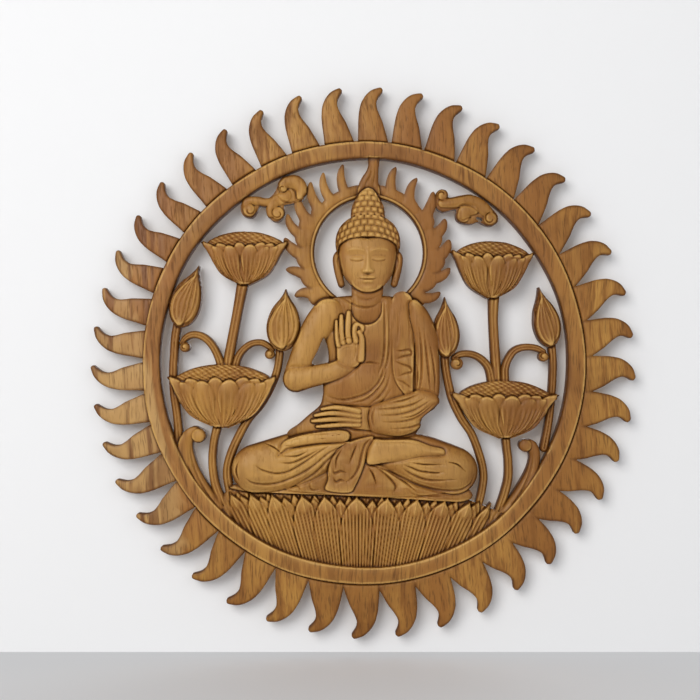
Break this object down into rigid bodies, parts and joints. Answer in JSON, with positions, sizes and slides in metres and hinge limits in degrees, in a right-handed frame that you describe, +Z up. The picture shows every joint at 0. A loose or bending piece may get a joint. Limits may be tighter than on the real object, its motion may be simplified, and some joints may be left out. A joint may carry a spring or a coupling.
{
  "type": "carved wall panel",
  "caption": "Round carved wooden wall panel: a pierced relief of a seated figure with halo on a lotus base between lotus flowers, in a ring with sun rays.",
  "frame": {"origin": "on the flat back, at the centre of the round frame", "axes": "+Y out of the back into the wall, so the carving faces -Y; +X to the viewer's right; +Z up"},
  "size_m": [0.3975, 0.0227, 0.4018],
  "materials": {
    "wood": "satin oiled hardwood with darker cuts"
  },
  "bodies": {
    "root": {"carved_panel": "wood"}
  },
  "joints": []
}
